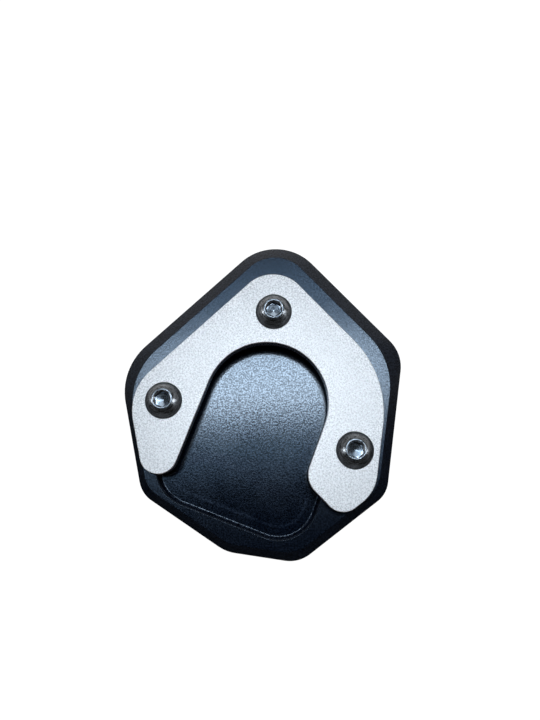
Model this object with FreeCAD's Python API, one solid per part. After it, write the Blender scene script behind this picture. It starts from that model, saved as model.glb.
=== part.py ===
import FreeCAD, Part
import math
import os
from collections import namedtuple

# Side stand foot enlarger for a motorcycle, in three kinds of piece.
# A base plate with a shallow pocket takes the stand's own foot.
# A horseshoe clamp plate goes round the stand's leg and laps over the foot.
# Three button head screws pull the clamp plate down onto the base plate.
# Lengths are in millimetres and angles in degrees.
# Everything is drawn in the foot's own axes: +Y runs along the foot towards its round end,
# and the drawing's centre is the centre of that round end. The finished pieces are then
# turned and moved so that the origin lies on the ground under the middle of the base plate.

Vector = FreeCAD.Vector

# The stand's own foot
foot_width = 46.4
foot_length = 55.8
foot_corner = 10.6
foot_clearance = 0.3

# The pocket in the base plate
pocket_depth = 4.0
pocket_floor_fillet = 0.8
pocket_rim_break = 0.3

# How far the clamp plate laps over the pocket, at its sides and at its round end
lap_sides = 5.95
lap_end = 4.2

# The plates
base_thickness = 10.0
bevel_depth = 3.0
base_lower_break = 0.8
clamp_thickness = 4.0
clamp_edge_break = 0.12

# The two legs of the clamp plate
left_leg_tip = 5.25
right_leg_tip = 5.25
right_leg_inner_corner = 6.2
right_leg_end_facing = 244.9
right_leg_end_past_screw = 15.75

# The base plate's seven sides, anticlockwise: the way each one faces, how far it stands
# outside the pocket, and the radius of the corner that follows it. Above the wall comes
# a bevel, with its width on that side and the corner radius where it meets the top face.
BaseSide = namedtuple("BaseSide", "facing rim corner bevel face_corner")
base_sides = {
    "right": BaseSide(facing=12.0, rim=14.4, corner=11.0, bevel=2.85, face_corner=21.0),
    "upper_right": BaseSide(facing=63.9, rim=18.35, corner=15.2, bevel=4.35, face_corner=10.6),
    "upper_left": BaseSide(facing=154.0, rim=15.35, corner=18.0, bevel=4.0, face_corner=20.0),
    "left": BaseSide(facing=213.5, rim=5.7, corner=8.4, bevel=2.25, face_corner=8.6),
    "lower_left": BaseSide(facing=257.7, rim=3.7, corner=11.8, bevel=2.35, face_corner=9.0),
    "bottom": BaseSide(facing=282.5, rim=5.35, corner=9.4, bevel=2.35, face_corner=10.5),
    "lower_right": BaseSide(facing=327.5, rim=6.3, corner=8.0, bevel=2.55, face_corner=11.0),
}

# The clamp plate's outer edges, each parallel to a side of the base plate: how far the
# edge stands inside that side, and the radius of the corner that follows it.
ClampEdge = namedtuple("ClampEdge", "setback corner")
clamp_edges = {
    "lower_right": ClampEdge(setback=2.8, corner=11.2),
    "right": ClampEdge(setback=4.25, corner=29.5),
    "upper_right": ClampEdge(setback=9.55, corner=10.3),
    "upper_left": ClampEdge(setback=8.7, corner=14.7),
    "left": ClampEdge(setback=2.5, corner=left_leg_tip),
}

# The M6 screws: button heads with a hexagon socket
thread_diameter = 6.0
screw_length = 12.0
screw_tip_break = 0.7
head_diameter = 10.5
head_height = 3.3
head_rim = 0.3
head_land_diameter = 5.5
socket_mouth_diameter = 5.1
socket_width = 4.0
socket_depth = 2.1
clamp_hole_diameter = 6.6
thread_clearance = 0.05
base_hole_countersink = 0.5

# Where the screws stand: outside the pocket's wall by these gaps, and along or across it
left_screw_gap = 3.85
left_screw_along = -8.05
right_screw_gap = 4.25
right_screw_along = -2.15
top_screw_gap = 3.9
top_screw_across = -7.5

# The plates lie turned by this much from the foot's axes
foot_turn = 20.7

# Values that follow from the sizes above
pocket_half_width = foot_width / 2 + foot_clearance
pocket_length = foot_length + 2 * foot_clearance
pocket_corner = foot_corner + foot_clearance
pocket_bottom = pocket_half_width - pocket_length
slot_half_width = pocket_half_width - lap_sides
slot_end = pocket_half_width - lap_end
stack_top = base_thickness + clamp_thickness

Line = namedtuple("Line", "facing distance corner")
SHORTEST_EDGE = 1e-4


def unit(facing):
    """Unit vector that points the way a side faces."""
    angle = math.radians(facing)
    return Vector(math.cos(angle), math.sin(angle), 0)


def crossing(first, second):
    """Point where two lines of an outline meet."""
    a = unit(first.facing)
    b = unit(second.facing)
    cross = a.x * b.y - a.y * b.x
    x = (first.distance * b.y - second.distance * a.y) / cross
    y = (second.distance * a.x - first.distance * b.x) / cross
    return Vector(x, y, 0)


def corner_frames(lines):
    """Each corner's point, its bisector, half its angle and the two ways out of it."""
    points = [crossing(line, lines[(i + 1) % len(lines)]) for i, line in enumerate(lines)]
    frames = []
    for i, point in enumerate(points):
        back = (points[i - 1] - point).normalize()
        ahead = (points[(i + 1) % len(points)] - point).normalize()
        half = back.getAngle(ahead) / 2
        frames.append((point, (back + ahead).normalize(), half, back, ahead))
    return frames


def corner_radii(lines, frames):
    """The radii of the corners, each limited by the lengths of the two sides that it joins."""
    cuts = [line.corner / math.tan(frame[2]) for line, frame in zip(lines, frames)]
    shares = []
    for i, frame in enumerate(frames):
        length = (frame[0] - frames[i - 1][0]).Length
        shares.append(min(1.0, length / (cuts[i] + cuts[i - 1])))
    count = len(lines)
    return [line.corner * min(shares[i], shares[(i + 1) % count]) for i, line in enumerate(lines)]


def outline(lines, height):
    """Closed wire of straight sides and round corners at one height."""
    frames = corner_frames(lines)
    radii = corner_radii(lines, frames)
    arcs = []
    for (point, bisector, half, back, ahead), radius in zip(frames, radii):
        cut = radius / math.tan(half)
        centre = point + bisector * (radius / math.sin(half))
        arcs.append((point + back * cut, centre - bisector * radius, point + ahead * cut))
    up = Vector(0, 0, height)
    edges = []
    for i, (start, middle, end) in enumerate(arcs):
        before = arcs[i - 1][2]
        if (start - before).Length > SHORTEST_EDGE:
            edges.append(Part.LineSegment(before + up, start + up).toShape())
        edges.append(Part.Arc(start + up, middle + up, end + up).toShape())
    return Part.Wire(edges)


def prism(lines, low, high):
    """Solid with one outline and upright walls."""
    return Part.Face(outline(lines, low)).extrude(Vector(0, 0, high - low))


def taper(low_lines, low, high_lines, high):
    """Solid whose straight sloping walls join an outline to another one above it."""
    return Part.makeLoft([outline(low_lines, low), outline(high_lines, high)], True, True)


def edges_at(solid, height):
    """Edges of a solid that lie flat at one height."""
    found = []
    for edge in solid.Edges:
        box = edge.BoundBox
        if abs(box.ZMin - height) < 1e-4 and abs(box.ZMax - height) < 1e-4:
            found.append(edge)
    return found


def pocket_lines(growth=0.0):
    """Outline of the pocket, made larger all round by a growth."""
    half = pocket_half_width + growth
    corner = pocket_corner + growth
    return [
        Line(0, half, half),
        Line(90, half, half),
        Line(180, half, corner),
        Line(270, growth - pocket_bottom, corner),
    ]


def pocket_reach(facing):
    """How far the pocket reaches from the drawing's centre in one direction."""
    away = unit(facing)
    corner_across = pocket_half_width - pocket_corner
    corner_along = pocket_bottom + pocket_corner
    reaches = [pocket_half_width]
    for across in (-corner_across, corner_across):
        reaches.append(away.dot(Vector(across, corner_along, 0)) + pocket_corner)
    return max(reaches)


def side_distance(name):
    """Distance from the drawing's centre to a side of the base plate."""
    side = base_sides[name]
    return pocket_reach(side.facing) + side.rim


def base_wall_lines(inset=0.0):
    """Outline of the base plate's upright wall, drawn in all round by an inset."""
    return [
        Line(side.facing, side_distance(name) - inset, side.corner - inset)
        for name, side in base_sides.items()
    ]


def base_face_lines():
    """Outline of the base plate's top face, inside the bevel."""
    return [
        Line(side.facing, side_distance(name) - side.bevel, side.face_corner)
        for name, side in base_sides.items()
    ]


def screw_seats():
    """Axis of each screw."""
    return {
        "screw_top": Vector(top_screw_across, pocket_half_width + top_screw_gap, 0),
        "screw_left": Vector(-pocket_half_width - left_screw_gap, left_screw_along, 0),
        "screw_right": Vector(pocket_half_width + right_screw_gap, right_screw_along, 0),
    }


def clamp_lines():
    """Outline of the clamp plate: its outer edges, then the two legs and the slot."""
    outer = [
        Line(base_sides[name].facing, side_distance(name) - edge.setback, edge.corner)
        for name, edge in clamp_edges.items()
    ]
    leg_end = unit(right_leg_end_facing).dot(screw_seats()["screw_right"])
    inner = [
        Line(0, -slot_half_width, slot_half_width),
        Line(270, -slot_end, slot_half_width),
        Line(180, -slot_half_width, right_leg_inner_corner),
        Line(right_leg_end_facing, leg_end + right_leg_end_past_screw, right_leg_tip),
    ]
    return outer + inner


def pocket_cutter():
    """Solid that cuts the pocket: a filleted floor, an upright wall and a broken rim."""
    floor = base_thickness - pocket_depth
    body = prism(pocket_lines(), floor, base_thickness)
    body = body.makeFillet(pocket_floor_fillet, edges_at(body, floor))
    broken_rim = taper(
        pocket_lines(),
        base_thickness - pocket_rim_break,
        pocket_lines(pocket_rim_break),
        base_thickness,
    )
    return body.fuse(broken_rim)


def tapped_hole_cutter(seat):
    """Solid that cuts one through hole in the base plate, countersunk on the ground face."""
    radius = thread_diameter / 2 + thread_clearance
    mouth = radius + base_hole_countersink
    hole = Part.makeCylinder(radius, base_thickness, seat)
    return hole.fuse(Part.makeCone(mouth, radius, base_hole_countersink, seat))


def base_plate():
    """Thick plate with upright walls, a bevel of uneven width, the pocket and three holes."""
    bevel_foot = base_thickness - bevel_depth
    lower = taper(base_wall_lines(base_lower_break), 0, base_wall_lines(), base_lower_break)
    wall = prism(base_wall_lines(), base_lower_break, bevel_foot)
    bevel = taper(base_wall_lines(), bevel_foot, base_face_lines(), base_thickness)
    plate = wall.multiFuse([lower, bevel]).removeSplitter()
    cutters = [tapped_hole_cutter(seat) for seat in screw_seats().values()]
    return plate.cut(pocket_cutter()).cut(Part.makeCompound(cutters))


def clamp_plate():
    """Horseshoe plate with three clearance holes and all its edges broken."""
    plate = prism(clamp_lines(), base_thickness, stack_top)
    for seat in screw_seats().values():
        foot = seat + Vector(0, 0, base_thickness)
        plate = plate.cut(Part.makeCylinder(clamp_hole_diameter / 2, clamp_thickness, foot))
    edges = edges_at(plate, base_thickness) + edges_at(plate, stack_top)
    return plate.makeChamfer(clamp_edge_break, edges)


def head_profile():
    """Half section of a screw's head and shank, from its axis outwards."""
    head = head_diameter / 2
    land = head_land_diameter / 2
    shank = thread_diameter / 2
    rim_top = Vector(head, 0, head_rim)
    land_edge = Vector(land, 0, head_height)
    # The dome is part of a sphere centred on the axis, from the rim up to the land's edge
    spread = land * land + head_height * head_height - head * head - head_rim * head_rim
    centre_height = spread / (2 * (head_height - head_rim))
    dome_radius = math.hypot(head, head_rim - centre_height)
    rim_angle = math.atan2(head_rim - centre_height, head)
    land_angle = math.atan2(head_height - centre_height, land)
    middle_angle = (rim_angle + land_angle) / 2
    dome_middle = Vector(
        dome_radius * math.cos(middle_angle),
        0,
        centre_height + dome_radius * math.sin(middle_angle),
    )
    corners = [
        land_edge,
        Vector(0, 0, head_height),
        Vector(0, 0, -screw_length),
        Vector(shank - screw_tip_break, 0, -screw_length),
        Vector(shank, 0, screw_tip_break - screw_length),
        Vector(shank, 0, 0),
        Vector(head, 0, 0),
        rim_top,
    ]
    edges = [Part.LineSegment(a, b).toShape() for a, b in zip(corners, corners[1:])]
    edges.append(Part.Arc(rim_top, dome_middle, land_edge).toShape())
    return Part.Face(Part.Wire(edges))


def socket_cutter():
    """Hexagon socket with a conical mouth."""
    across_corners = socket_width / math.cos(math.radians(30))
    floor = head_height - socket_depth
    corners = [unit(60 * i) * (across_corners / 2) for i in range(7)]
    hexagon = Part.Face(Part.makePolygon([corner + Vector(0, 0, floor) for corner in corners]))
    socket = hexagon.extrude(Vector(0, 0, socket_depth))
    mouth = socket_mouth_diameter / 2
    mouth_depth = mouth - socket_width / 2
    mouth_foot = Vector(0, 0, head_height - mouth_depth)
    mouth_cone = Part.makeCone(socket_width / 2, mouth, mouth_depth, mouth_foot)
    return socket.fuse(mouth_cone)


def screw(seat):
    """Button head screw, seated on the clamp plate."""
    body = head_profile().revolve(Vector(0, 0, 0), Vector(0, 0, 1), 360)
    body = body.cut(socket_cutter())
    body.translate(seat + Vector(0, 0, stack_top))
    return body


def build():
    """All the pieces by name, turned and moved to their final place."""
    pieces = {"base_plate": base_plate(), "clamp_plate": clamp_plate()}
    for name, seat in screw_seats().items():
        pieces[name] = screw(seat)
    for piece in pieces.values():
        piece.rotate(Vector(0, 0, 0), Vector(0, 0, 1), -foot_turn)
    box = pieces["base_plate"].optimalBoundingBox(False, False)
    to_origin = Vector(-box.Center.x, -box.Center.y, 0)
    for piece in pieces.values():
        piece.translate(to_origin)
    return pieces


os.makedirs("parts", exist_ok=True)
for name, piece in build().items():
    piece.exportStep("parts/" + name + ".step")
    print(name, "solids", len(piece.Solids), "valid", piece.isValid(), "volume", round(piece.Volume, 1))
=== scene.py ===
import math

import bpy
from mathutils import Matrix, Vector

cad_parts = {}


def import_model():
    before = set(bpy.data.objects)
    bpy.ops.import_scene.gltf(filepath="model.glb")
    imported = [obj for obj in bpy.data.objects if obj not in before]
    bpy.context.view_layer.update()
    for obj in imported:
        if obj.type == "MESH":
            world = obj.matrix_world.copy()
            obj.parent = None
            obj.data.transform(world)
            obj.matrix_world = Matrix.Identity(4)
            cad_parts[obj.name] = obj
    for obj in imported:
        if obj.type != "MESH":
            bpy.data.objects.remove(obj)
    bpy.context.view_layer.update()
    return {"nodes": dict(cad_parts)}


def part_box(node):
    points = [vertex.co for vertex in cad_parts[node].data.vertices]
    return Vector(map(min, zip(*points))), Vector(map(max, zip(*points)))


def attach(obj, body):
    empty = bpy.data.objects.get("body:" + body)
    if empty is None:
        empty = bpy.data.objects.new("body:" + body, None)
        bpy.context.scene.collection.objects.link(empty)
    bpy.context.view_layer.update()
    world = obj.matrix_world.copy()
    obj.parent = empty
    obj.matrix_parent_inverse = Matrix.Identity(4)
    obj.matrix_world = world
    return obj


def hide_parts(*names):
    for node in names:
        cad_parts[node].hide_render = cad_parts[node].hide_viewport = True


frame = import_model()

# Looks for the side stand foot enlarger: a black anodised base plate, a bead-blasted silver
# clamp plate and three stainless button head screws, seen from above on a white floor.
# The scene is in metres, in the part's own frame. Surface detail is in millimetres.

nodes = frame["nodes"]

BODY = "root"
MM = 0.001

# The camera: where it stands, the way it looks, its roll and its lens
CAMERA_PLACE = Vector((0.00407, -0.03200, 0.19284))
CAMERA_TILT = math.radians(13.0)
CAMERA_SWING = math.radians(2.53)
CAMERA_ROLL = 0.002
CAMERA_LENS = 32.06
CAMERA_NEAR = 0.01
SENSOR = 36.0
HALF_PIXEL = 0.00014

# The soft lamp over the object that the flat faces mirror. It is built of layers, given by
# share of light, lean to the back, half angles across and along, colour, and how the layer
# treats the clamp plate, which is rougher and would mirror too much of the faint layers.
LAMP_DISTANCE = 1.2
LAMP_TURN = math.radians(3.5)
LAMP_RADIANCE = 8.5
CORE_COLOUR = (0.80, 0.91, 1.0)
TAIL_COLOUR = (0.47, 0.71, 1.0)
LAMP_LAYERS = (
    (0.41, 11.5, 9.5, 3.2, CORE_COLOUR, ""),
    (0.41, 11.5, 14.0, 3.6, CORE_COLOUR, ""),
    (0.10, 11.5, 15.0, 4.6, CORE_COLOUR, ""),
    (0.10, 13.0, 17.0, 10.8, TAIL_COLOUR, "EXCLUDE"),
    (0.06, 17.5, 15.0, 6.0, TAIL_COLOUR, "EXCLUDE"),
    (0.12, 38.0, 14.0, 10.0, CORE_COLOUR, "EXCLUDE"),
    (0.28, 5.0, 12.0, 6.0, CORE_COLOUR, "INCLUDE"),
)

# Two small lamps low at the sides, for the screws alone, whose heads mirror them
SIDE_DISTANCE = 1.2
SIDE_LEAN = math.radians(63.0)
SIDE_SIZE = 0.11
SIDE_RADIANCE = 46.0
SIDE_COLOUR = (0.93, 0.97, 1.0)

# Dim soft lamps low all round, for the clamp plate alone, which it mirrors in low views
ROUND_COUNT = 6
ROUND_DISTANCE = 1.2
ROUND_LEAN = math.radians(75.0)
ROUND_WIDTH = 1.0
ROUND_DEPTH = 0.42
ROUND_RADIANCE = 0.6
ROUND_COLOUR = (0.97, 0.98, 1.0)

# An area lamp gives this much radiance for each watt on a square metre
RADIANCE_PER_WATT = 0.25

# What shiny faces see of the surroundings, from the viewer's side to the far side
WORLD_DIM = 0.006
HORIZON_LOW = math.radians(6.0)
HORIZON_HIGH = math.radians(42.0)
HORIZON_COLOUR = (1.0, 0.96, 0.92, 1)
WORLD_FRONT = 0.06
WORLD_BACK = 0.34
FLOOR_FRONT = 0.02
FLOOR_BACK = 0.80
FRONT_REACH = -0.15

# The floor, a hair below the object so that the two don't flicker
WHITE = (1, 1, 1, 1)
PAPER_COLOUR = (0.95, 0.95, 0.95, 1)
FLOOR_HALF = 3.0
FLOOR_GAP = 0.00003
FLOOR_GLOW = 1.25
FLOOR_GLOW_SHARE = 0.8

# The screws in mm, seen from the seat under the head. Their width and height come from
# the solids' boxes.
SCREWS = ("screw_top", "screw_left", "screw_right")
SCREW_TURN = math.radians(-20.7)
SCREW_COLUMNS = 96
HEAD_HEIGHT = 3.3
HEAD_RIM = 0.3
LAND_RADIUS = 2.75
MOUTH_RADIUS = 2.55
EDGE_ROUND = 0.1
SOCKET_WIDTH = 4.0
SOCKET_DEPTH = 2.1
SOCKET_POINT = 0.45
SHANK_RADIUS = 3.0
THREAD_PITCH = 1.0
THREAD_DEPTH = 0.6
THREAD_ROWS_PER_TURN = 12
THREAD_TIP = 0.7
THREAD_START = 0.4
THREAD_CREST = 0.12
THREAD_FLANK = 0.72
PLAIN_NECK = 0.2
POINT_STEPS = (0.12, 0.3, 0.45, 0.6, 0.75, 0.88, 0.98)
DOME_STEPS = 20
SHARP_ANGLE = math.radians(32)

# The pocket in mm: the centre of its round end, the way it lies and its outline
POCKET_CENTRE = (0.50, -4.44)
POCKET_ALONG = (0.3535, 0.9354)
POCKET_HALF_WIDTH = 23.5
POCKET_BOTTOM = 32.9
POCKET_CORNER = 10.9
TOOL_LINE_INSET = 3.4
TOOL_LINE_WIDTH = 0.6
TOOL_LINE_CORE = 0.3
TOOL_LINE_FADES = (-16.0, -21.0)
TOOL_LINE_WEAR = 0.25
TOOL_LINE_WORN = (0.3, 0.5)
WALL_NEAR = 0.3
WALL_FAR = 0.6
FACE_HEIGHT = 10.0

# The grain and marks of the finishes. Scales are per mm, and depths in mm. A pair of numbers
# is where a mask starts and where it is full. Specks are given by how many cells per mm the
# pattern has, the share of the cells that hold one, and its radius in mm.
GRAIN_DETAIL = 3.0
GRAIN_LOW = 0.3
GRAIN_HIGH = 0.7
SPECK_CORE = 0.4
HAIRLINE_STRETCH = (0.22, 9.0, 1.0)
HAIRLINE_EDGE = 0.05

# The black finish. Its edges are rounded and its grain is raised by so many mm.
BLACK_COLOUR = (0.0010, 0.0050, 0.0165)
BLACK_TINT = (0.78, 0.88, 1.0)
BLACK_IOR = 1.7
BLACK_GRAIN = 2.2
BLACK_CLOUD = 0.12
BLACK_ROUGHNESS = 0.118
BLACK_HAZE = 0.035
BLACK_STEEP = 0.37
BLACK_MARK = 0.25
BLACK_SCRATCH = 0.05
BLACK_GRAIN_ROUGHNESS = 0.008
BLACK_CLOUD_ROUGHNESS = 0.03
BLACK_GRAIN_GLOSS = 0.56
BLACK_CLOUD_GLOSS = 0.12
# Painted shade: how far the mirrored light is dimmed on the pocket's wall and fillet
BLACK_WALL_PAINTED_SHADE = -0.72
BLACK_GRAIN_DYE = 0.8
BLACK_MARK_DYE = 5.0
BLACK_SPECKS = (0.45, 0.16, 0.14)
BLACK_SCRATCHES = ((0.5, 0.80), (-1.1, 0.82))
BLACK_TOOL_LINE = 0.14
BLACK_EDGE = 0.15
BLACK_BUMP = 0.004
STEEP = (0.9995, 0.98)
HAZE_DEPTHS = (2.5, 1.0)
WALL_DEPTHS = (0.2, 0.6)

# The silver finish
SILVER_COLOUR = (0.815, 0.797, 0.80)
SILVER_GRAIN = 2.3
SILVER_CLOUD = 0.15
SILVER_GRAIN_SHADE = 0.30
SILVER_CLOUD_SHADE = 0.05
SILVER_PIT = -0.18
SILVER_SPECKS = (0.5, 0.10, 0.12)
SILVER_ROUGHNESS = 0.45
SILVER_GRAIN_ROUGHNESS = 0.04
SILVER_UPRIGHT = -0.15
UPRIGHT = (0.9, 0.3)
SILVER_BUMP = 0.008

# The steel finish. Rings lie round the axis, the ring is the edge round the socket's mouth,
# which is painted brighter as a painted highlight, the socket is painted brighter as painted
# light, and the dome darkens from the ring out to the rim as painted shade, by distances in mm.
STEEL_COLOUR = (0.60, 0.645, 0.70)
STEEL_RINGS = (12.0, 2.6, 1.0)
STEEL_TARNISH = 1.1
STEEL_GRIT = 3.0
STEEL_GRIT_RANGE = (0.35, 0.65)
STEEL_RINGS_SHADE = 0.5
STEEL_TARNISH_SHADE = 0.4
STEEL_GRIT_SHADE = 0.4
STEEL_ROUGHNESS = 0.32
STEEL_ROUGHNESS_SWING = 0.05
STEEL_SOCKET_EDGE = (-0.20, -0.35)
STEEL_RING_EDGE = (0.26, 0.14)
# Painted light: how much brighter the socket is made than the dome
STEEL_SOCKET_PAINTED_LIGHT = 1.45
STEEL_SOCKET_ROUGHNESS = -0.06
# Painted highlight added to the ring round the socket's mouth
STEEL_RING_PAINTED_HIGHLIGHT = 0.7
# Painted shade on the dome: its colour factor from the ring out to the rim
STEEL_DOME_FROM = 1.0
STEEL_DOME_TO = 3.6
STEEL_DOME_PAINTED_SHADES = (0.54, 0.30)
STEEL_BUMP = 0.012


class Tree:
    """Short ways to add and join the nodes of one shader tree."""

    def __init__(self, tree):
        self.tree = tree
        tree.nodes.clear()

    def add(self, kind, **values):
        node = self.tree.nodes.new(kind)
        for name, value in values.items():
            if hasattr(node, name):
                setattr(node, name, value)
            else:
                self.feed(node, name, value)
        return node

    def feed(self, node, name, value):
        """Sets a socket, or links it when the value is another socket.

        In a name _ stands for a space, and _0, _1 and so on are sockets by number.
        """
        by_number = name[1:].isdigit()
        socket = node.inputs[int(name[1:]) if by_number else name.replace("_", " ")]
        if isinstance(value, bpy.types.NodeSocket):
            self.tree.links.new(value, socket)
        else:
            socket.default_value = value

    def math(self, operation, a, b=0.0, clamp=False):
        node = self.add("ShaderNodeMath", operation=operation, use_clamp=clamp)
        self.feed(node, "_0", a)
        self.feed(node, "_1", b)
        return node.outputs[0]

    def vector(self, operation, a, b=(0, 0, 0)):
        node = self.add("ShaderNodeVectorMath", operation=operation, _0=a, _1=b)
        return node.outputs["Value" if operation in ("DOT_PRODUCT", "LENGTH") else "Vector"]

    def ramp(self, value, low, high, to_low=0.0, to_high=1.0):
        """A smooth step between two values."""
        step = self.add("ShaderNodeMapRange", interpolation_type="SMOOTHSTEP", Value=value)
        names = ("From_Min", "From_Max", "To_Min", "To_Max")
        for name, number in zip(names, (low, high, to_low, to_high)):
            self.feed(step, name, number)
        return step.outputs[0]

    def millimetres(self):
        """The place on the surface, in mm."""
        place = self.add("ShaderNodeNewGeometry").outputs["Position"]
        return self.add("ShaderNodeVectorMath", operation="SCALE", _0=place, Scale=1 / MM).outputs[0]

    def noise(self, place, per_mm, detail=2.0):
        """Noise from 0 to 1 with a mean of a half."""
        node = self.add("ShaderNodeTexNoise", Vector=place, Scale=per_mm, Detail=detail)
        return node.outputs["Fac"]

    def grain(self, place, per_mm):
        """Fine noise from 0 to 1, spread so that it reaches both ends."""
        return self.ramp(self.noise(place, per_mm, GRAIN_DETAIL), GRAIN_LOW, GRAIN_HIGH)

    def around(self, mean, noise, swing):
        """A mean value, moved both ways by noise."""
        offset = self.math("SUBTRACT", noise, 0.5)
        return self.math("ADD", mean, self.math("MULTIPLY", offset, 2 * swing))

    def plus(self, value, mask, amount):
        """A value, with an amount added where the mask is 1."""
        return self.math("ADD", value, self.math("MULTIPLY", mask, amount))

    def tint(self, colour, factor):
        """A colour times a factor."""
        return self.add("ShaderNodeVectorMath", operation="SCALE", _0=colour, Scale=factor).outputs[0]

    def bump(self, height, depth_mm, normal=None):
        node = self.add("ShaderNodeBump", Height=height, Strength=1.0, Distance=depth_mm * MM)
        if normal is not None:
            self.feed(node, "Normal", normal)
        return node.outputs[0]


def new_material(name):
    material = bpy.data.materials.new(name)
    material.use_nodes = True
    return material, Tree(material.node_tree)


def place_camera():
    """A camera at the viewing angle, moved half a pixel so that pixel centres agree."""
    sideways = math.sin(CAMERA_TILT) * math.sin(CAMERA_SWING)
    ahead = math.sin(CAMERA_TILT) * math.cos(CAMERA_SWING)
    look = Vector((-sideways, ahead, -math.cos(CAMERA_TILT)))
    up = Vector((0, 1, 0))
    up = (up - look * look.dot(up)).normalized()
    right = look.cross(up)
    turned_right = right * math.cos(CAMERA_ROLL) + up * math.sin(CAMERA_ROLL)
    turned_up = up * math.cos(CAMERA_ROLL) - right * math.sin(CAMERA_ROLL)
    data = bpy.data.cameras.new("camera")
    data.sensor_width = SENSOR
    data.lens = CAMERA_LENS
    data.clip_start = CAMERA_NEAR
    camera = bpy.data.objects.new("camera", data)
    bpy.context.scene.collection.objects.link(camera)
    place = CAMERA_PLACE + (turned_up - turned_right) * HALF_PIXEL
    axes = Matrix((turned_right, turned_up, -look)).transposed()
    camera.matrix_world = Matrix.Translation(place) @ axes.to_4x4()
    bpy.context.scene.camera = camera


def area_lamp(name, place, width, depth, radiance, colour, turn_by=0.0):
    """An area lamp that faces the object, turned about the line to it."""
    data = bpy.data.lights.new(name, "AREA")
    data.shape = "RECTANGLE"
    data.size = width
    data.size_y = depth
    data.energy = radiance * width * depth / RADIANCE_PER_WATT
    data.color = colour
    lamp = bpy.data.objects.new(name, data)
    bpy.context.scene.collection.objects.link(lamp)
    turn = place.to_track_quat("Z", "Y").to_matrix().to_4x4()
    lamp.matrix_world = Matrix.Translation(place) @ turn @ Matrix.Rotation(turn_by, 4, "Z")
    return lamp


def link_light(lamp, names, state):
    """Keeps a lamp's light off some pieces, or on those pieces alone."""
    group = bpy.data.collections.new(lamp.name + "_link")
    for name in names:
        group.objects.link(nodes[name])
    for linked in group.collection_objects:
        linked.light_linking.link_state = state
    lamp.light_linking.receiver_collection = group


def light_round():
    """The ring of dim lamps for the clamp plate. They don't show in the picture themselves."""
    for i in range(ROUND_COUNT):
        angle = 2 * math.pi * (i + 0.5) / ROUND_COUNT
        out = math.sin(ROUND_LEAN)
        way = Vector((out * math.cos(angle), out * math.sin(angle), math.cos(ROUND_LEAN)))
        name = "lamp_round_%d" % i
        place = way * ROUND_DISTANCE
        lamp = area_lamp(name, place, ROUND_WIDTH, ROUND_DEPTH, ROUND_RADIANCE, ROUND_COLOUR)
        lamp.visible_camera = False
        link_light(lamp, ["clamp_plate"], "INCLUDE")


def light():
    """The layered lamp overhead and the two small ones at the sides."""
    for i, (share, lean, across, along, colour, on_clamp) in enumerate(LAMP_LAYERS):
        lean = math.radians(lean)
        place = Vector((0, math.sin(lean), math.cos(lean))) * (LAMP_DISTANCE + i * MM)
        width = 2 * LAMP_DISTANCE * math.tan(math.radians(across))
        depth = 2 * LAMP_DISTANCE * math.tan(math.radians(along))
        radiance = share * LAMP_RADIANCE
        lamp = area_lamp("lamp_top_%d" % i, place, width, depth, radiance, colour, LAMP_TURN)
        if on_clamp:
            link_light(lamp, ["clamp_plate"], on_clamp)
    for name, side in (("lamp_left", -1), ("lamp_right", 1)):
        place = Vector((side * math.sin(SIDE_LEAN), 0, math.cos(SIDE_LEAN))) * SIDE_DISTANCE
        lamp = area_lamp(name, place, SIDE_SIZE, SIDE_SIZE, SIDE_RADIANCE, SIDE_COLOUR)
        link_light(lamp, ["base_plate", "clamp_plate"], "EXCLUDE")


def seen_directly_or_mirrored(tree):
    """Two masks: rays from the camera, and rays sent on by a glossy surface or glass."""
    path = tree.add("ShaderNodeLightPath").outputs
    mirrored = tree.math("MAXIMUM", path["Is Glossy Ray"], path["Is Transmission Ray"])
    return path["Is Camera Ray"], mirrored


def surroundings(tree, direction, front, back):
    """What shiny faces see near the horizon: pale behind the object, dark towards the viewer."""
    level = tree.vector("NORMALIZE", tree.vector("MULTIPLY", direction, (1, 1, 0)))
    behind = tree.add("ShaderNodeSeparateXYZ", Vector=level).outputs["Y"]
    pale = tree.add("ShaderNodeMapRange", Value=behind, From_Min=FRONT_REACH, From_Max=1.0)
    tree.feed(pale, "To_Min", front)
    tree.feed(pale, "To_Max", back)
    return pale.outputs[0]


def world():
    """White to the camera. Shiny faces see it dim overhead and paler low behind the object."""
    made = bpy.data.worlds.new("world")
    bpy.context.scene.world = made
    made.use_nodes = True
    tree = Tree(made.node_tree)
    direct, mirrored = seen_directly_or_mirrored(tree)
    direction = tree.add("ShaderNodeTexCoord").outputs["Generated"]
    height = tree.add("ShaderNodeSeparateXYZ", Vector=direction).outputs["Z"]
    low = tree.ramp(height, math.sin(HORIZON_HIGH), math.sin(HORIZON_LOW))
    seen = tree.math("MULTIPLY", mirrored, low)
    horizon = tree.math("MULTIPLY", seen, surroundings(tree, direction, WORLD_FRONT, WORLD_BACK))
    white = tree.math("MAXIMUM", direct, horizon)
    strength = tree.math("MAXIMUM", white, WORLD_DIM)
    colour = tree.add("ShaderNodeMix", data_type="RGBA", Factor=direct)
    tree.feed(colour, "_6", HORIZON_COLOUR)
    tree.feed(colour, "_7", WHITE)
    background = tree.add("ShaderNodeBackground", Color=colour.outputs[2], Strength=strength)
    tree.add("ShaderNodeOutputWorld", Surface=background.outputs[0])


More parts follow.
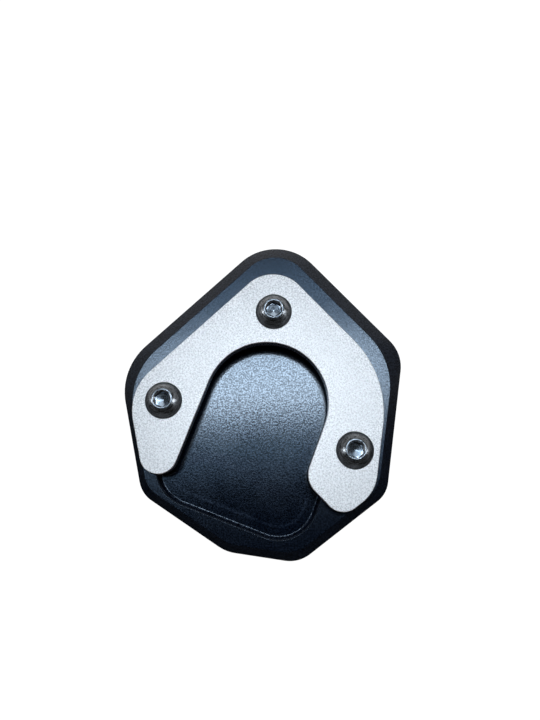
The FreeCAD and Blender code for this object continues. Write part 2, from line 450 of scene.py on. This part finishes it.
def floor():
    """A white floor that keeps a faint shadow of the object. From below it can't be seen."""
    mesh = bpy.data.meshes.new("floor")
    h = FLOOR_HALF
    z = -FLOOR_GAP
    mesh.from_pydata([(-h, -h, z), (h, -h, z), (h, h, z), (-h, h, z)], [], [(0, 1, 2, 3)])
    plane = bpy.data.objects.new("floor", mesh)
    bpy.context.scene.collection.objects.link(plane)
    material, tree = new_material("white_floor")
    direct, mirrored = seen_directly_or_mirrored(tree)
    share = tree.math("MAXIMUM", tree.math("MULTIPLY", direct, FLOOR_GLOW_SHARE), mirrored)
    geometry = tree.add("ShaderNodeNewGeometry").outputs
    place = geometry["Position"]
    glow_strength = tree.math("MULTIPLY", direct, FLOOR_GLOW)
    seen = surroundings(tree, place, FLOOR_FRONT, FLOOR_BACK)
    strength = tree.math("MAXIMUM", glow_strength, seen)
    paper = tree.add("ShaderNodeBsdfDiffuse", Color=PAPER_COLOUR)
    colour = tree.add("ShaderNodeMix", data_type="RGBA", Factor=direct)
    tree.feed(colour, "_6", HORIZON_COLOUR)
    tree.feed(colour, "_7", WHITE)
    glow = tree.add("ShaderNodeEmission", Color=colour.outputs[2], Strength=strength)
    top = tree.add("ShaderNodeMixShader", Fac=share, _1=paper.outputs[0], _2=glow.outputs[0])
    clear = tree.add("ShaderNodeBsdfTransparent")
    below = geometry["Backfacing"]
    mix = tree.add("ShaderNodeMixShader", Fac=below, _1=top.outputs[0], _2=clear.outputs[0])
    tree.add("ShaderNodeOutputMaterial", Surface=mix.outputs[0])
    mesh.materials.append(material)


def flatness(tree):
    """1 where the surface lies level, 0 where it is upright."""
    normal = tree.add("ShaderNodeNewGeometry").outputs["Normal"]
    up = tree.add("ShaderNodeSeparateXYZ", Vector=normal).outputs["Z"]
    return tree.math("ABSOLUTE", up)


def specks(tree, place, per_mm, chosen, size_mm):
    """1 in a few round specks, one in some of the cells of a pattern."""
    cells = tree.add("ShaderNodeTexVoronoi", Vector=place, Scale=per_mm)
    picked = tree.add("ShaderNodeSeparateColor", Color=cells.outputs["Color"]).outputs[0]
    chance = tree.math("LESS_THAN", picked, chosen)
    reach = size_mm * per_mm
    near = tree.ramp(cells.outputs["Distance"], reach, SPECK_CORE * reach)
    return tree.math("MULTIPLY", chance, near)


def hairlines(tree, place, turn, chosen):
    """1 along a few fine straight scratches that lie one way."""
    turned = tree.add("ShaderNodeVectorRotate", rotation_type="Z_AXIS", Vector=place, Angle=turn)
    stretched = tree.vector("MULTIPLY", turned.outputs[0], HAIRLINE_STRETCH)
    return tree.ramp(tree.noise(stretched, 1.0, 0.0), chosen, chosen + HAIRLINE_EDGE)


def in_pocket_axes(tree, place):
    """The place across the pocket and along it, in mm from the centre of its round end."""
    from_centre = tree.vector("SUBTRACT", place, (*POCKET_CENTRE, 0))
    along_x, along_y = POCKET_ALONG
    across = tree.vector("DOT_PRODUCT", from_centre, (along_y, -along_x, 0))
    along = tree.vector("DOT_PRODUCT", from_centre, (along_x, along_y, 0))
    return across, along


def on_pocket(tree, place):
    """1 in the pocket and on its wall, 0 on the rest of the plate."""
    across, along = in_pocket_axes(tree, place)
    aside = tree.math("ABSOLUTE", across)
    beside = tree.ramp(aside, POCKET_HALF_WIDTH + WALL_FAR, POCKET_HALF_WIDTH + WALL_NEAR)
    below = tree.ramp(along, -POCKET_BOTTOM - WALL_FAR, -POCKET_BOTTOM - WALL_NEAR)
    above = tree.ramp(along, POCKET_HALF_WIDTH + WALL_FAR, POCKET_HALF_WIDTH + WALL_NEAR)
    return tree.math("MULTIPLY", tree.math("MULTIPLY", beside, below), above)


def tool_line(tree, place):
    """1 on the faint line that the cutter left in the pocket, a fixed way inside its wall."""
    across, along = in_pocket_axes(tree, place)
    corner_across = POCKET_HALF_WIDTH - POCKET_CORNER
    corner_along = POCKET_BOTTOM - POCKET_CORNER
    over = tree.math("MAXIMUM", tree.math("SUBTRACT", tree.math("ABSOLUTE", across), corner_across), 0)
    back = tree.math("MULTIPLY", along, -1)
    down = tree.math("MAXIMUM", tree.math("SUBTRACT", back, corner_along), 0)
    reach = tree.vector("LENGTH", tree.add("ShaderNodeCombineXYZ", X=over, Y=down).outputs[0])
    inset = tree.math("SUBTRACT", POCKET_CORNER, reach)
    off_line = tree.math("ABSOLUTE", tree.math("SUBTRACT", inset, TOOL_LINE_INSET))
    line = tree.ramp(off_line, TOOL_LINE_WIDTH, TOOL_LINE_CORE * TOOL_LINE_WIDTH)
    low_part = tree.ramp(along, *TOOL_LINE_FADES)
    worn = tree.ramp(tree.noise(place, TOOL_LINE_WEAR), *TOOL_LINE_WORN)
    return tree.math("MULTIPLY", tree.math("MULTIPLY", line, low_part), worn)


def black_anodised():
    """Bead-blasted aluminium dyed black: satin, with a fine grain, a few marks and painted shade that
    dims the mirrored light on the pocket's wall.
    """
    material, tree = new_material("black_anodised_finish")
    place = tree.millimetres()
    level = flatness(tree)
    grain = tree.grain(place, BLACK_GRAIN)
    cloud = tree.noise(place, BLACK_CLOUD, GRAIN_DETAIL)
    line = tree.math("MULTIPLY", tool_line(tree, place), BLACK_TOOL_LINE)
    marks = tree.math("MAXIMUM", specks(tree, place, *BLACK_SPECKS), line)
    one_way, other_way = (hairlines(tree, place, *scratch) for scratch in BLACK_SCRATCHES)
    scratches = tree.math("MAXIMUM", one_way, other_way)
    steep = tree.ramp(level, *STEEP)
    height = tree.add("ShaderNodeSeparateXYZ", Vector=place).outputs["Z"]
    haze = tree.ramp(height, *(FACE_HEIGHT - depth for depth in HAZE_DEPTHS))
    roughness = tree.around(BLACK_ROUGHNESS, grain, BLACK_GRAIN_ROUGHNESS)
    roughness = tree.around(roughness, cloud, BLACK_CLOUD_ROUGHNESS)
    roughness = tree.plus(roughness, haze, BLACK_HAZE)
    roughness = tree.plus(roughness, steep, BLACK_STEEP)
    roughness = tree.plus(roughness, marks, BLACK_MARK)
    roughness = tree.plus(roughness, scratches, BLACK_SCRATCH)
    # Painted shade: the steep wall and fillet of the pocket mirror less light
    in_pocket = tree.ramp(height, *(FACE_HEIGHT - depth for depth in WALL_DEPTHS))
    wall = tree.math("MULTIPLY", tree.math("MULTIPLY", steep, in_pocket), on_pocket(tree, place))
    gloss = tree.around(tree.around(1.0, grain, BLACK_GRAIN_GLOSS), cloud, BLACK_CLOUD_GLOSS)
    gloss = tree.plus(gloss, wall, BLACK_WALL_PAINTED_SHADE)
    dye = tree.plus(tree.around(1.0, grain, BLACK_GRAIN_DYE), marks, BLACK_MARK_DYE)
    edge = tree.add("ShaderNodeBevel", samples=6, Radius=BLACK_EDGE * MM).outputs[0]
    shader = tree.add("ShaderNodeBsdfPrincipled")
    tree.feed(shader, "Base_Color", tree.tint(BLACK_COLOUR, dye))
    tree.feed(shader, "Roughness", roughness)
    tree.feed(shader, "IOR", BLACK_IOR)
    tree.feed(shader, "Specular_Tint", tree.tint(BLACK_TINT, gloss))
    tree.feed(shader, "Normal", tree.bump(grain, BLACK_BUMP, edge))
    tree.add("ShaderNodeOutputMaterial", Surface=shader.outputs[0])
    return material


def silver_anodised():
    """Bead-blasted aluminium, clear anodised: pale and matt, with a fine speckle."""
    material, tree = new_material("silver_anodised_finish")
    place = tree.millimetres()
    level = flatness(tree)
    grain = tree.grain(place, SILVER_GRAIN)
    cloud = tree.noise(place, SILVER_CLOUD)
    pits = specks(tree, place, *SILVER_SPECKS)
    upright = tree.ramp(level, *UPRIGHT)
    shade = tree.around(tree.around(1.0, grain, SILVER_GRAIN_SHADE), cloud, SILVER_CLOUD_SHADE)
    shade = tree.plus(shade, pits, SILVER_PIT)
    roughness = tree.around(SILVER_ROUGHNESS, grain, SILVER_GRAIN_ROUGHNESS)
    roughness = tree.plus(roughness, upright, SILVER_UPRIGHT)
    shader = tree.add("ShaderNodeBsdfPrincipled")
    tree.feed(shader, "Base_Color", tree.tint(SILVER_COLOUR, shade))
    tree.feed(shader, "Metallic", 1.0)
    tree.feed(shader, "Roughness", roughness)
    tree.feed(shader, "Normal", tree.bump(grain, SILVER_BUMP))
    tree.add("ShaderNodeOutputMaterial", Surface=shader.outputs[0])
    return material


def stainless_steel():
    """Turned stainless steel, with fine rings round the axis and a little tarnish, a socket painted
    brighter as painted light, a ring painted as a highlight and a dome painted darker towards the rim
    as painted shade.
    """
    material, tree = new_material("stainless_steel_finish")
    place = tree.millimetres()
    turning = tree.add("ShaderNodeUVMap").outputs[0]
    outward = tree.add("ShaderNodeSeparateXYZ", Vector=turning).outputs["Y"]
    in_socket = tree.ramp(outward, *STEEL_SOCKET_EDGE)
    on_ring = tree.ramp(tree.math("ABSOLUTE", outward), *STEEL_RING_EDGE)
    rings = tree.grain(tree.vector("MULTIPLY", turning, STEEL_RINGS), 1.0)
    tarnish = tree.noise(place, STEEL_TARNISH, GRAIN_DETAIL)
    grit = tree.ramp(tree.noise(place, STEEL_GRIT), *STEEL_GRIT_RANGE)
    worn = tree.around(tree.around(1.0, rings, STEEL_RINGS_SHADE), tarnish, STEEL_TARNISH_SHADE)
    worn = tree.around(worn, grit, STEEL_GRIT_SHADE)
    # Painted light: the socket is made brighter than the dome
    shade = tree.plus(worn, in_socket, tree.math("SUBTRACT", STEEL_SOCKET_PAINTED_LIGHT, worn))
    # Painted shade: the dome darkens from the ring out to the rim
    edge = tree.ramp(outward, STEEL_DOME_FROM, STEEL_DOME_TO, *STEEL_DOME_PAINTED_SHADES)
    shade = tree.math("MULTIPLY", shade, edge)
    # Painted highlight on the ring round the socket's mouth
    shade = tree.plus(shade, on_ring, STEEL_RING_PAINTED_HIGHLIGHT)
    roughness = tree.around(STEEL_ROUGHNESS, rings, STEEL_ROUGHNESS_SWING)
    roughness = tree.around(roughness, tarnish, STEEL_ROUGHNESS_SWING)
    roughness = tree.plus(roughness, in_socket, STEEL_SOCKET_ROUGHNESS)
    shader = tree.add("ShaderNodeBsdfPrincipled")
    tree.feed(shader, "Base_Color", tree.tint(STEEL_COLOUR, shade))
    tree.feed(shader, "Metallic", 1.0)
    tree.feed(shader, "Roughness", roughness)
    # Painted shade: the dome's mirrored light dims towards the rim
    tree.feed(shader, "Specular_Tint", tree.tint((1.0, 1.0, 1.0), edge))
    turned = tree.math("MULTIPLY", rings, tree.math("SUBTRACT", 1.0, in_socket))
    tree.feed(shader, "Normal", tree.bump(turned, STEEL_BUMP))
    tree.add("ShaderNodeOutputMaterial", Surface=shader.outputs[0])
    return material


def hexagon_reach(angle):
    """How far the socket's wall stands from the axis, in one direction."""
    sixth = math.radians(60)
    return SOCKET_WIDTH / 2 / math.cos(angle % sixth - sixth / 2)


def thread_reach(angle, height):
    """How far the thread stands from the axis, in one direction at one height."""
    phase = (height / THREAD_PITCH + angle / (2 * math.pi)) % 1.0
    groove = min(max((1 - abs(2 * phase - 1) - THREAD_CREST) / THREAD_FLANK, 0.0), 1.0)
    return SHANK_RADIUS - THREAD_DEPTH * groove


def socket_rings():
    """The socket from its drill point up to its conical mouth, as rings of (radius, height)."""
    floor_height = HEAD_HEIGHT - SOCKET_DEPTH
    angles = [2 * math.pi * i / SCREW_COLUMNS for i in range(SCREW_COLUMNS)]
    walls = [hexagon_reach(angle) for angle in angles]
    flat = SOCKET_WIDTH / 2
    rings = []
    for share in POINT_STEPS:
        height = floor_height - SOCKET_POINT * (1 - share)
        rings.append([(flat * share, height)] * SCREW_COLUMNS)
    rings.append([(wall, floor_height) for wall in walls])
    rings.append([(wall, HEAD_HEIGHT - (MOUTH_RADIUS - wall)) for wall in walls])
    return rings


def outside_rings():
    """The head's rim, dome and underside, as rings of (radius, height)."""
    head = head_radius
    spread = LAND_RADIUS**2 + HEAD_HEIGHT**2 - head**2 - HEAD_RIM**2
    centre = spread / (2 * (HEAD_HEIGHT - HEAD_RIM))
    dome = math.hypot(head, HEAD_RIM - centre)
    land_angle = math.atan2(HEAD_HEIGHT - centre, LAND_RADIUS)
    rim_angle = math.atan2(HEAD_RIM - centre, head)
    r = EDGE_ROUND
    profile = [
        (MOUTH_RADIUS - r, HEAD_HEIGHT - r),
        (MOUTH_RADIUS - 0.3 * r, HEAD_HEIGHT - 0.4 * r),
        (MOUTH_RADIUS + 0.4 * r, HEAD_HEIGHT - 0.08 * r),
        (MOUTH_RADIUS + r, HEAD_HEIGHT),
        (LAND_RADIUS - 0.5 * r, HEAD_HEIGHT - 0.08 * r),
    ]
    for step in range(1, DOME_STEPS + 1):
        angle = land_angle + (rim_angle - land_angle) * step / DOME_STEPS
        profile.append((dome * math.cos(angle), centre + dome * math.sin(angle)))
    profile += [
        (head, r),
        (head - 0.3 * r, 0.3 * r),
        (head - r, 0.0),
        (SHANK_RADIUS + r, 0.0),
        (SHANK_RADIUS, 0.0),
        (SHANK_RADIUS, -PLAIN_NECK),
    ]
    return [[point] * SCREW_COLUMNS for point in profile]


def thread_rings(length):
    """The threaded shank down to its chamfered tip, as rings of (radius, height)."""
    rings = []
    rows = int((length - THREAD_START) / THREAD_PITCH * THREAD_ROWS_PER_TURN)
    for row in range(rows + 1):
        height = -THREAD_START - (length - THREAD_START) * row / rows
        ring = []
        tip = SHANK_RADIUS - THREAD_TIP + (length + height)
        for column in range(SCREW_COLUMNS):
            angle = 2 * math.pi * column / SCREW_COLUMNS
            reach = thread_reach(angle, height)
            ring.append((min(reach, tip), height))
        rings.append(ring)
    return rings


def ring_surface(name, rings, first_height, last_height, zero_ring):
    """A closed mesh through rings, with a point on the axis at each end.

    UV runs round the axis, and in mm along the profile from one of the rings.
    """
    points = [(0, 0, first_height)]
    run = [0.0]
    travelled = 0.0
    before = (0.0, first_height)
    for ring in rings:
        travelled += math.dist(before, ring[0])
        before = ring[0]
        for column, (radius, height) in enumerate(ring):
            angle = 2 * math.pi * column / SCREW_COLUMNS
            points.append((radius * math.cos(angle), radius * math.sin(angle), height))
            run.append(travelled)
    points.append((0, 0, last_height))
    run.append(travelled + before[0])
    faces = []
    count = SCREW_COLUMNS
    last = len(points) - 1
    for i in range(count):
        after = (i + 1) % count
        faces.append((0, 1 + i, 1 + after))
        for ring in range(len(rings) - 1):
            near = 1 + ring * count
            far = near + count
            faces.append((near + i, far + i, far + after, near + after))
        near = last - count
        faces.append((near + i, last, near + after))
    zero = run[1 + zero_ring * count]
    mesh = bpy.data.meshes.new(name)
    mesh.from_pydata([[v * MM for v in point] for point in points], [], faces)
    layer = mesh.uv_layers.new(name="turning")
    for polygon in mesh.polygons:
        for loop in polygon.loop_indices:
            vertex = mesh.loops[loop].vertex_index
            layer.data[loop].uv = (((vertex - 1) % count) / count, run[vertex] - zero)
    mesh.shade_smooth()
    mesh.set_sharp_from_angle(angle=SHARP_ANGLE)
    return mesh


def screws(material):
    """The three screws with their threads, each in the place of its plain solid."""
    socket = socket_rings()
    rings = socket + outside_rings() + thread_rings(shank_length)
    point = HEAD_HEIGHT - SOCKET_DEPTH - SOCKET_POINT
    mesh = ring_surface("button_head_screw", rings, point, -shank_length, len(socket) + 3)
    mesh.materials.append(material)
    for node in SCREWS:
        low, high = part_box(node)
        piece = bpy.data.objects.new(node + "_detailed", mesh)
        bpy.context.scene.collection.objects.link(piece)
        seat = Vector(((low.x + high.x) / 2, (low.y + high.y) / 2, high.z - HEAD_HEIGHT * MM))
        piece.matrix_world = Matrix.Translation(seat) @ Matrix.Rotation(SCREW_TURN, 4, "Z")
        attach(piece, BODY)
        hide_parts(node)


def dress(names, material):
    for name in names:
        nodes[name].material_slots[0].material = material


screw_low, screw_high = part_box(SCREWS[0])
head_radius = (screw_high.x - screw_low.x) / 2 / MM
shank_length = (screw_high.z - screw_low.z) / MM - HEAD_HEIGHT

place_camera()
light()
light_round()
world()
floor()
dress(["base_plate"], black_anodised())
dress(["clamp_plate"], silver_anodised())
steel = stainless_steel()
dress(SCREWS, steel)
screws(steel)

bpy.context.scene.view_settings.view_transform = "Standard"
